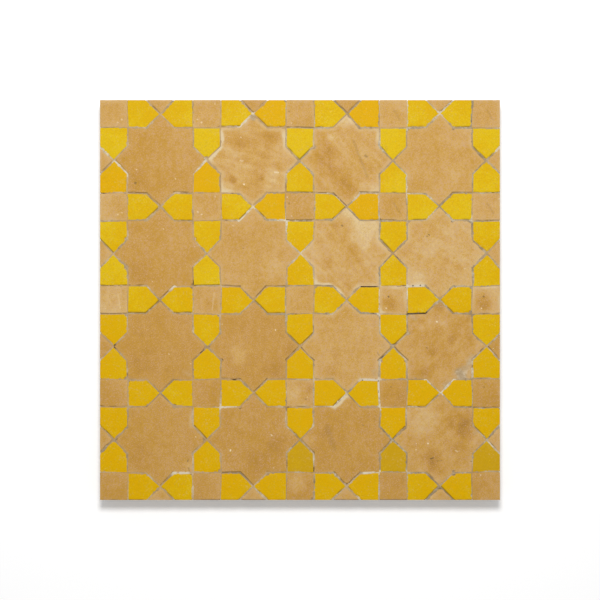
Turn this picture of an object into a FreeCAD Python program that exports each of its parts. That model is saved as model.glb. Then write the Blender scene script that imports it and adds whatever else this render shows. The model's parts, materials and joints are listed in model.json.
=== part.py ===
"""A square sheet of hand-cut mosaic tile, face up: eight-pointed stars of plain clay, and between
them crosses made of a clay square and four glazed arrow-shaped tiles, all set in one cast mortar bed.

Frame: the origin is the middle of the sheet's back, +Z points out of the face, and +Y is the top of
the pattern. Row 1 is at the top and column 1 at the left. Millimetres and degrees.
"""

import FreeCAD, Part
import Sketcher

import math
import os
import random

SIZES = {
    # The pattern
    "repeat_pitch": 71.0,  # from one star's centre to the next
    "repeats": 4,  # stars along each side of the sheet
    "open_joint": 1.1,  # between a star and the arrows round it
    "tight_joint": 0.7,  # between a square and the arrows on its sides
    "square_gain": 0.35,  # from the band's edge out to the middle of each joint round a square
    # The tiles, and the bed that holds them
    "tile_thickness": 12.0,
    "draft_angle": 7.0,  # a tile's sides are cut back, so that its back is smaller than its face
    "arris": 0.25,  # the worn edge round each face
    "backing": 8.0,  # mortar behind the tiles
    "joint_recess": 0.8,  # from the highest face down to the mortar in the joints
    # How far from its true place the hand leaves a tile, at most
    "star_drift": 0.2,
    "star_turn": 0.2,
    "arrow_drift": 0.15,
    "arrow_turn": 0.5,
    "square_drift": 0.08,
    "square_turn": 0.4,
    "sink": 0.2,
}
HAND_SEED = 11

# Lengths that follow from the sizes. A star is two equal squares, one turned by 45 degrees, whose
# corners reach half a pitch from its centre. The band between the stars holds squares and arrows.
STAR_HALF = "(Sizes.repeat_pitch / 2 / sqrt(2))"
BAND_HALF = f"(Sizes.repeat_pitch / 2 - {STAR_HALF})"
SHEET_SIDE = f"(Sizes.repeats * Sizes.repeat_pitch + 2 * {BAND_HALF})"
POINT_GAP = "(Sizes.open_joint / sqrt(2))"  # from a point's tip to the middle of its joint
STAR_FLAT = f"{STAR_HALF} - Sizes.open_joint / 2"
SQUARE_FLAT = f"{BAND_HALF} - Sizes.tight_joint / 2 + Sizes.square_gain"
ARROW_FLANK = f"{BAND_HALF} - Sizes.open_joint / 2"
ARROW_BASE = f"{STAR_HALF} / 2 - Sizes.tight_joint / 2 - Sizes.square_gain"
ARROW_TIP = f"{STAR_HALF} / 2 - {POINT_GAP}"
ARROW_MIDDLE = f"(Sizes.repeat_pitch - {STAR_HALF}) / 2"  # from the middle of its cross
# A border tile is cut longer than it needs to be, and then sawn flush with the sheet's side.
SAW_WASTE = "(Sizes.tile_thickness * tan(Sizes.draft_angle) + Sizes.arris)"
SAWN_BLANK = f"{BAND_HALF} + {SAW_WASTE}"

RIGHT, UP, LEFT, DOWN = range(4)
STEPS = ((1, 0), (0, 1), (-1, 0), (0, -1))
REACH_NAMES = ("right", "up", "left", "down")
BORDER_NAMES = ("right", "top", "left", "bottom")
# A sketch's own names for its origin, its axes and a line's start
ORIGIN = (-1, 1)
X_AXIS = -1
START = 1


def size_sheet(doc):
    """The spreadsheet that every expression reads."""
    sheet = doc.addObject("Spreadsheet::Sheet", "Sizes")
    for row, (alias, value) in enumerate(SIZES.items(), start=1):
        sheet.set(f"A{row}", alias)
        sheet.set(f"B{row}", str(value))
        sheet.setAlias(f"B{row}", alias)
    doc.recompute()


def new_sketch(body, name, turn=0):
    """An empty sketch on the body's XY plane, which is the plane of the tile's face."""
    sketch = body.newObject("Sketcher::SketchObject", name)
    plane = next(f for f in body.Origin.OriginFeatures if f.Role == "XY_Plane")
    sketch.AttachmentSupport = [(plane, "")]
    sketch.MapMode = "FlatFace"
    turned = FreeCAD.Rotation(FreeCAD.Vector(0, 0, 1), turn)
    sketch.AttachmentOffset = FreeCAD.Placement(FreeCAD.Vector(), turned)
    return sketch


def closed_outline(sketch, rough_corners):
    """Straight sides between the corners, which lie roughly where the distances then put them."""
    corners = [FreeCAD.Vector(x, y, 0) for x, y in rough_corners]
    ends = corners[1:] + corners[:1]
    sketch.addGeometry([Part.LineSegment(a, b) for a, b in zip(corners, ends)])
    count = len(corners)
    joined = [Sketcher.Constraint("Coincident", k, 2, (k + 1) % count, 1) for k in range(count)]
    sketch.addConstraint(joined)


def bound_distance(sketch, name, kind, start, end, expression):
    """A named distance along X or Y from one point to another, bound to the sizes."""
    index = sketch.addConstraint(Sketcher.Constraint(kind, *start, *end, 1.0))
    sketch.renameConstraint(index, name)
    sketch.setExpression(f"Constraints.{name}", expression)


def rectangle(body, name, rough, reach, turn=0):
    """A rectangle whose right, upper, left and lower sides lie at these reaches from the origin."""
    sketch = new_sketch(body, name, turn)
    closed_outline(sketch, [(-rough, -rough), (rough, -rough), (rough, rough), (-rough, rough)])
    for side, kind in enumerate(("Horizontal", "Vertical", "Horizontal", "Vertical")):
        sketch.addConstraint(Sketcher.Constraint(kind, side))
    bound_distance(sketch, "right", "DistanceX", ORIGIN, (1, START), reach[RIGHT])
    bound_distance(sketch, "up", "DistanceY", ORIGIN, (2, START), reach[UP])
    bound_distance(sketch, "left", "DistanceX", (3, START), ORIGIN, reach[LEFT])
    bound_distance(sketch, "down", "DistanceY", (0, START), ORIGIN, reach[DOWN])
    return sketch


def arrow_outline(body, rough, left_flank, right_flank):
    """A pentagon that points along +X, with its base on the left and a right-angled tip."""
    sketch = new_sketch(body, body.Name + "_outline")
    shoulder = rough / 3
    corners = [(-rough, -rough), (shoulder, -rough), (rough, 0), (shoulder, rough), (-rough, rough)]
    closed_outline(sketch, corners)
    for side, kind in ((0, "Horizontal"), (3, "Horizontal"), (4, "Vertical")):
        sketch.addConstraint(Sketcher.Constraint(kind, side))
    sketch.addConstraint(Sketcher.Constraint("PointOnObject", 2, START, X_AXIS))
    bound_distance(sketch, "base", "DistanceX", (0, START), ORIGIN, ARROW_BASE)
    bound_distance(sketch, "tip", "DistanceX", ORIGIN, (2, START), ARROW_TIP)
    bound_distance(sketch, "left_flank", "DistanceY", ORIGIN, (3, START), left_flank)
    bound_distance(sketch, "right_flank", "DistanceY", (1, START), ORIGIN, right_flank)
    # Each shoulder slopes at 45 degrees, so it runs as far along X as it rises.
    bound_distance(sketch, "left_shoulder", "DistanceX", (3, START), (2, START), left_flank)
    bound_distance(sketch, "right_shoulder", "DistanceX", (1, START), (2, START), right_flank)
    return sketch


def point_outline(body, rough):
    """A star's point that opens along +X from its tip, at 45 degrees to each side."""
    sketch = new_sketch(body, body.Name + "_outline")
    closed_outline(sketch, [(rough / 5, 0), (rough, -rough), (rough, rough)])
    sketch.addConstraint(Sketcher.Constraint("Vertical", 1))
    sketch.addConstraint(Sketcher.Constraint("PointOnObject", 0, START, X_AXIS))
    bound_distance(sketch, "tip", "DistanceX", ORIGIN, (0, START), POINT_GAP)
    bound_distance(sketch, "base", "DistanceX", ORIGIN, (1, START), SAWN_BLANK)
    spread = f"{SAWN_BLANK} - {POINT_GAP}"
    bound_distance(sketch, "upper_spread", "DistanceY", (0, START), (2, START), spread)
    bound_distance(sketch, "lower_spread", "DistanceY", (1, START), (0, START), spread)
    return sketch


def slab(body, sketch):
    """The outline, from the face at Z = 0 down to the tile's back."""
    pad = body.newObject("PartDesign::Pad", sketch.Name + "_slab")
    pad.Profile = sketch
    pad.Reversed = True
    pad.setExpression("Length", "Sizes.tile_thickness")
    return pad


def face_names(shape, upright):
    """The names of the upright sides, or else of the tile's face at Z = 0."""
    names = []
    for number, face in enumerate(shape.Faces, start=1):
        is_side = abs(face.normalAt(0, 0).z) < 0.5
        is_top = not is_side and abs(face.CenterOfMass.z) < 1e-6
        if is_side if upright else is_top:
            names.append(f"Face{number}")
    return names


def cut_to_shape(body, pad):
    """Draws the sides in towards the back, and wears the edge round the face."""
    body.Document.recompute()
    draft = body.newObject("PartDesign::Draft", body.Name + "_cut_back")
    draft.Base = (pad, face_names(pad.Shape, upright=True))
    draft.NeutralPlane = (pad, face_names(pad.Shape, upright=False))
    draft.Reversed = True
    draft.setExpression("Angle", "Sizes.draft_angle")
    body.Document.recompute()
    arris = body.newObject("PartDesign::Chamfer", body.Name + "_arris")
    arris.Base = (draft, face_names(draft.Shape, upright=False))
    arris.setExpression("Size", "Sizes.arris")
    body.Document.recompute()


def saw_flush(body, direction, rough):
    """Cuts off what lies past the sheet's side, which leaves a plain upright side."""
    far = f"{SAWN_BLANK} + Sizes.tile_thickness"
    reach = [far] * 4
    reach[(direction + 2) % 4] = f"-{BAND_HALF}"
    sketch = rectangle(body, f"{body.Name}_saw_{REACH_NAMES[direction]}", rough, reach)
    before = body.Shape.Volume
    cut = body.newObject("PartDesign::Pocket", sketch.Name + "_cut")
    cut.Profile = sketch
    cut.Type = "ThroughAll"
    body.Document.recompute()
    if body.Shape.Volume >= before:
        raise RuntimeError(f"{sketch.Name} cut nothing")


def star_blank(doc, rough):
    """Two equal squares, one turned by 45 degrees."""
    body = doc.addObject("PartDesign::Body", "star_blank")
    for turn in (0, 45):
        pad = slab(body, rectangle(body, f"star_square_{turn}", rough, [STAR_FLAT] * 4, turn))
    cut_to_shape(body, pad)
    return body


def square_blank(doc, rough, sawn=()):
    """The middle of a cross. On the border one side is sawn flush, and in a corner two are."""
    name = "_".join(["square_blank"] + [REACH_NAMES[direction] for direction in sawn])
    body = doc.addObject("PartDesign::Body", name)
    reach = [SQUARE_FLAT] * 4
    for direction in sawn:
        reach[direction] = SAWN_BLANK
    cut_to_shape(body, slab(body, rectangle(body, name + "_outline", rough, reach)))
    for direction in sawn:
        saw_flush(body, direction, rough)
    return body


def arrow_blank(doc, rough, sawn=()):
    """One arm of a cross, which points along +X. On the border one flank is sawn flush."""
    name = "_".join(["arrow_blank"] + [REACH_NAMES[direction] for direction in sawn])
    body = doc.addObject("PartDesign::Body", name)
    left_flank = SAWN_BLANK if UP in sawn else ARROW_FLANK
    right_flank = SAWN_BLANK if DOWN in sawn else ARROW_FLANK
    cut_to_shape(body, slab(body, arrow_outline(body, rough, left_flank, right_flank)))
    for direction in sawn:
        saw_flush(body, direction, rough)
    return body


def point_blank(doc, rough):
    """The point of a star that lies past the sheet's side, sawn flush with it."""
    body = doc.addObject("PartDesign::Body", "point_blank")
    cut_to_shape(body, slab(body, point_outline(body, rough)))
    saw_flush(body, RIGHT, rough)
    return body


def tile_blanks(doc):
    """One tile of each shape, which the laid tiles are copies of."""
    star_half = SIZES["repeat_pitch"] / 2 / math.sqrt(2)
    band_half = SIZES["repeat_pitch"] / 2 - star_half
    return {
        "star": star_blank(doc, star_half),
        "square": square_blank(doc, band_half),
        "square on side": square_blank(doc, band_half, (RIGHT,)),
        "square in corner": square_blank(doc, band_half, (RIGHT, UP)),
        "arrow": arrow_blank(doc, star_half / 2),
        "arrow sawn on left": arrow_blank(doc, star_half / 2, (UP,)),
        "arrow sawn on right": arrow_blank(doc, star_half / 2, (DOWN,)),
        "point": point_blank(doc, band_half),
    }


class Hand:
    """The tiler's hand, which leaves each tile a little out of its true place."""

    def __init__(self, seed):
        self.random = random.Random(seed)

    def share(self, low=-1.0):
        """A share of the most that the hand allows."""
        return round(self.random.uniform(low, 1.0), 3)


def lay(doc, name, blank, hand, kind, place, quarter_turns, free=(1, 1)):
    """A copy of a blank, laid face up at a place that is given as expressions of its X and Y.

    Free says along which axes it may drift: a tile that is sawn flush keeps to its border.
    """
    tile = doc.addObject("PartDesign::Body", name)
    copy = tile.newObject("PartDesign::FeatureBase", name + "_blank")
    copy.BaseFeature = blank
    tile.Tip = copy
    turn = hand.share() if all(free) else 0
    sink = hand.share(0.0) if any(free) else 0
    top = "Sizes.backing + Sizes.tile_thickness"
    for axis, middle, allowed in zip("xy", place, free):
        drift = hand.share() * allowed
        tile.setExpression(f"Placement.Base.{axis}", f"{middle} + {drift} * Sizes.{kind}_drift")
    tile.setExpression("Placement.Base.z", f"{top} - {sink} * Sizes.sink")
    angle = f"{90 * quarter_turns} + {turn} * Sizes.{kind}_turn"
    tile.setExpression("Placement.Rotation.Angle", angle)
    return tile


def lattice(index):
    """The expression of a lattice line's place, counted from the left or from the bottom."""
    return f"({index} - Sizes.repeats / 2) * Sizes.repeat_pitch"


def sides_at(column, row, last):
    """The sides of the sheet that a crossing of the lattice lies on."""
    on_side = ((RIGHT, column == last), (UP, row == last), (LEFT, column == 0), (DOWN, row == 0))
    return [direction for direction, there in on_side if there]


def lay_stars(doc, blanks, hand, last):
    """A star in each mesh of the lattice."""
    stars = []
    for row in reversed(range(last)):
        for column in range(last):
            name = f"star_tile_r{last - row}_c{column + 1}"
            place = (lattice(column + 0.5), lattice(row + 0.5))
            stars.append(lay(doc, name, blanks["star"], hand, "star", place, 0))
    return stars


def lay_squares(doc, blanks, hand, last):
    """A square on each crossing of the lattice, turned so that its sawn sides face outwards."""
    squares = []
    for row in reversed(range(last + 1)):
        for column in range(last + 1):
            name = f"square_tile_r{last - row + 1}_c{column + 1}"
            place = (lattice(column), lattice(row))
            sides = sides_at(column, row, last)
            free = (int(0 < column < last), int(0 < row < last))
            blank = blanks[("square", "square on side", "square in corner")[len(sides)]]
            corner_turns = [side for side in sides if (side + 1) % 4 in sides]
            quarter_turns = (corner_turns or sides or [0])[0]
            squares.append(lay(doc, name, blank, hand, "square", place, quarter_turns, free))
    return squares


def lay_arrow(doc, name, blanks, hand, column, row, direction, last):
    """An arrow that points away from a crossing of the lattice."""
    sides = sides_at(column, row, last)
    step = STEPS[direction]
    blank, free = "arrow", (1, 1)
    if (direction + 1) % 4 in sides:
        blank, free = "arrow sawn on left", (abs(step[0]), abs(step[1]))
    if (direction - 1) % 4 in sides:
        blank, free = "arrow sawn on right", (abs(step[0]), abs(step[1]))
    place = (
        f"{lattice(column)} + {step[0]} * {ARROW_MIDDLE}",
        f"{lattice(row)} + {step[1]} * {ARROW_MIDDLE}",
    )
    return lay(doc, name, blanks[blank], hand, "arrow", place, direction, free)


def group(doc, name, tiles):
    """Like tiles, which don't touch, kept as one sub-part."""
    compound = doc.addObject("Part::Compound", name)
    compound.Links = tiles
    return compound


def lay_arrows(doc, blanks, hand, last):
    """The arrows along each lattice line: a pair between two crossings points at each other."""
    rows, columns = [], []
    for line in range(last + 1):
        across, upright = [], []
        for gap in range(last):
            for direction in (RIGHT, LEFT):
                name = f"arrow_row_{line + 1}_{gap + 1}_{REACH_NAMES[direction]}"
                column = gap + int(direction == LEFT)
                tile = lay_arrow(doc, name, blanks, hand, column, last - line, direction, last)
                across.append(tile)
            for direction in (UP, DOWN):
                name = f"arrow_column_{line + 1}_{gap + 1}_{REACH_NAMES[direction]}"
                row = gap + int(direction == DOWN)
                upright.append(lay_arrow(doc, name, blanks, hand, line, row, direction, last))
        rows.append(group(doc, f"arrow_tiles_row_{line + 1}", across))
        columns.append(group(doc, f"arrow_tiles_column_{line + 1}", upright))
    return rows + columns


def lay_points(doc, blanks, hand, last):
    """The triangle between two arrows, all along each side of the sheet."""
    groups = []
    for direction, border in enumerate(BORDER_NAMES):
        step = STEPS[direction]
        edge = last if step[0] + step[1] > 0 else 0
        tiles = []
        for gap in range(last):
            along = gap + 0.5
            place = (lattice(edge if step[0] else along), lattice(edge if step[1] else along))
            free = (abs(step[1]), abs(step[0]))
            name = f"triangle_{border}_{gap + 1}"
            tiles.append(lay(doc, name, blanks["point"], hand, "arrow", place, direction, free))
        groups.append(group(doc, f"triangle_tiles_{border}", tiles))
    return groups


def cast_bed(doc, tiles):
    """The mortar, cast round the tiles and behind them."""
    block = doc.addObject("Part::Box", "bed_block")
    block.setExpression("Length", SHEET_SIDE)
    block.setExpression("Width", SHEET_SIDE)
    block.setExpression("Height", "Sizes.backing + Sizes.tile_thickness - Sizes.joint_recess")
    block.setExpression("Placement.Base.x", f"-{SHEET_SIDE} / 2")
    block.setExpression("Placement.Base.y", f"-{SHEET_SIDE} / 2")
    bed = doc.addObject("Part::Cut", "mortar_bed")
    bed.Base = block
    bed.Tool = group(doc, "all_tiles", tiles)
    return bed


def check(doc, parts):
    """Stops if an object failed or a sub-part's shape isn't sound."""
    failed = [o.Name for o in doc.Objects if {"Invalid", "Error"} & set(o.State)]
    if failed:
        raise RuntimeError(f"failed: {failed}")
    for part in parts:
        if part.Shape.isNull() or not part.Shape.isValid():
            raise RuntimeError(f"{part.Label} has no valid shape")


def main():
    doc = FreeCAD.newDocument("MosaicSheet")
    size_sheet(doc)
    blanks = tile_blanks(doc)
    hand = Hand(HAND_SEED)
    last = int(SIZES["repeats"])
    tiles = lay_stars(doc, blanks, hand, last)
    tiles += lay_squares(doc, blanks, hand, last)
    tiles += lay_arrows(doc, blanks, hand, last)
    tiles += lay_points(doc, blanks, hand, last)
    parts = tiles + [cast_bed(doc, tiles)]
    doc.recompute()
    check(doc, parts)
    os.makedirs("parts", exist_ok=True)
    for part in parts:
        part.Shape.exportStep(f"parts/{part.Label}.step")
    print(f"{len(parts)} sub-parts, {sum(len(part.Shape.Solids) for part in parts)} solids")


main()
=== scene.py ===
"""The looks of a sheet of hand-cut mosaic: stars and squares of plain clay, arrows glazed yellow,
and the mortar between and behind them. Metres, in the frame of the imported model.

Each tile is shaped from a copy of its own CAD solid, so it stays in its place. Values painted on its
vertices steer the materials.
"""

import json
import math
import random

import bpy
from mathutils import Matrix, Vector, noise

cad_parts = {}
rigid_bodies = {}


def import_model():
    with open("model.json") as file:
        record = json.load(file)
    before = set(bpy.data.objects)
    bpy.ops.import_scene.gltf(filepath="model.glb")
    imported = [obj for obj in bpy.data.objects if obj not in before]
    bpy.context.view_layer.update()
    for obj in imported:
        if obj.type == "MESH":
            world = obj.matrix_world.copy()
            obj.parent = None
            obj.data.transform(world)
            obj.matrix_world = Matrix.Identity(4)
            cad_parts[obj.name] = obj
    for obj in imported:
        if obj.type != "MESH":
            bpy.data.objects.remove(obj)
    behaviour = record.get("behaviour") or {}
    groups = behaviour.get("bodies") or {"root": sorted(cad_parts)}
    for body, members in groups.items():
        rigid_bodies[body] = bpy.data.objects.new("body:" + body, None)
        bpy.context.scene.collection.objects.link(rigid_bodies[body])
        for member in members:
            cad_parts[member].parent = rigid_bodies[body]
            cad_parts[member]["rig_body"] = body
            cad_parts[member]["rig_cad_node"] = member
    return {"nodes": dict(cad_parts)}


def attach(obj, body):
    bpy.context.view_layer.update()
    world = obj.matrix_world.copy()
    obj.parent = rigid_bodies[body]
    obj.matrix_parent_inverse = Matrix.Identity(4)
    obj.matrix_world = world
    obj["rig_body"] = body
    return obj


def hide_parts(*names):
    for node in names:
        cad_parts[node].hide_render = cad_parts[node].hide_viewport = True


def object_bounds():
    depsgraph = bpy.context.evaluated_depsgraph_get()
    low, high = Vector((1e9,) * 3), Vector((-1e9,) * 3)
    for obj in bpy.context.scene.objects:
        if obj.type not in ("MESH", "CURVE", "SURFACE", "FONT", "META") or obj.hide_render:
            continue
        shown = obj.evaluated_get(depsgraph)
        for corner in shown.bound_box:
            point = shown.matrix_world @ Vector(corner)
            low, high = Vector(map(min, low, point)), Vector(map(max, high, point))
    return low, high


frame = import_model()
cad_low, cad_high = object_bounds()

noise.seed_set(7)  # unseeded vector noise differs from run to run

MM = 0.001
FACE_Z = cad_high.z
HALF_SIDE = cad_high.x
PITCH = 71 * MM

# The picture is 600 pixels across, and the sheet takes 400 of them.
PICTURE_WIDTH = 2 * HALF_SIDE * 600 / 400
LENS = 100
SENSOR = 36

# One soft lamp past the picture's top, and an even sky
KEY_PLACE = Vector((0.0, 0.40, 1.12))
KEY_SIZE = 0.30
KEY_POWER = 9.7
SKY = 0.34
FLOOR_LIFT = 0.19

# How closely the faces are cut up before they are shaped
STAR_GRID = 1.3 * MM
SMALL_GRID = 0.85 * MM
JOINT_GRID = 0.9 * MM
BACK_GRID = 5.0 * MM
RINGS = (0.3 * MM, 0.6 * MM)  # the steps inwards of two rings along each tile's edge
MERGE = 0.002 * MM
ALMOST = 0.05 * MM  # what counts as lying on the same plane

# What the hand does to the tiles
SWAY = 0.75  # how far the pattern wanders, in millimetres
WAVE = 0.20  # how far a tile's edge waves, in millimetres
TREMOR = 0.04  # the finer waves along it
SPREAD = 0.30 * MM  # how far a tile's face reaches out over its arris
WORKED = 0.6 * MM  # how far below the face the relief, the nicks and the painted edge shade reach
STAR_BLUNT = 0.06  # the share of a star's corners that are blunt
SMALL_BLUNT = 0.05
STAR_TILT = 0.002  # how far a tile leans, as a slope
SMALL_TILT = 0.005
ARROW_TILT = 0.006
SMALL_FALL = 0.006  # how fast the tone changes across a tile, for each millimetre
ARROW_FALL = 0.009
RIM_REACH = 9.0  # millimetres from a tile's edge, past which nothing fades any more

# The mortar: how far it runs under the tiles, how high it stands, and how deep its gaps are
TUCK = 0.4 * MM
JOINT_RISE = 0.28  # in millimetres, as the next one
GAP_DEPTH = 1.4
BACK_WAVE = 0.12 * MM
SIDE_WAVE = 0.25 * MM

# Finishes. tone: 0 dark brown to 1 pale buff. mottle: how far the tone wanders. haze: lime at the rim.
FINISHES = {
    "honey": {"tone": 0.42, "mottle": 0.13, "haze": 0.10},
    "fair": {"tone": 0.54, "mottle": 0.20, "haze": 0.20},
    "hazed": {"tone": 0.57, "mottle": 0.26, "haze": 0.50},
    "streaked": {"tone": 0.55, "mottle": 0.22, "haze": 0.40},
    "cloudy": {"tone": 0.61, "mottle": 0.26, "haze": 0.45},
    "clouded": {"tone": 0.56, "mottle": 0.18, "haze": 0.30},
    "pale": {"tone": 0.68, "mottle": 0.26, "haze": 0.25},
    "brown": {"tone": 0.38, "mottle": 0.14, "haze": 0.10},
    "smoked": {"tone": 0.47, "mottle": 0.26, "haze": 0.20},
    "burnt": {"tone": 0.52, "mottle": 0.18, "haze": 0.15},
}
# The stars, row by row from the top, as the firing and the years left them
STAR_FINISHES = (
    ("honey", "hazed", "streaked", "fair"),
    ("honey", "fair", "cloudy", "pale"),
    ("brown", "brown", "clouded", "smoked"),
    ("honey", "brown", "brown", "burnt"),
)
# The squares, in the same order
SQUARE_FINISHES = (
    ("fair", "fair", "fair", "fair", "fair"),
    ("fair", "fair", "honey", "fair", "fair"),
    ("pale", "fair", "fair", "streaked", "streaked"),
    ("brown", "brown", "fair", "brown", "brown"),
    ("honey", "honey", "honey", "brown", "brown"),
)
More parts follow.
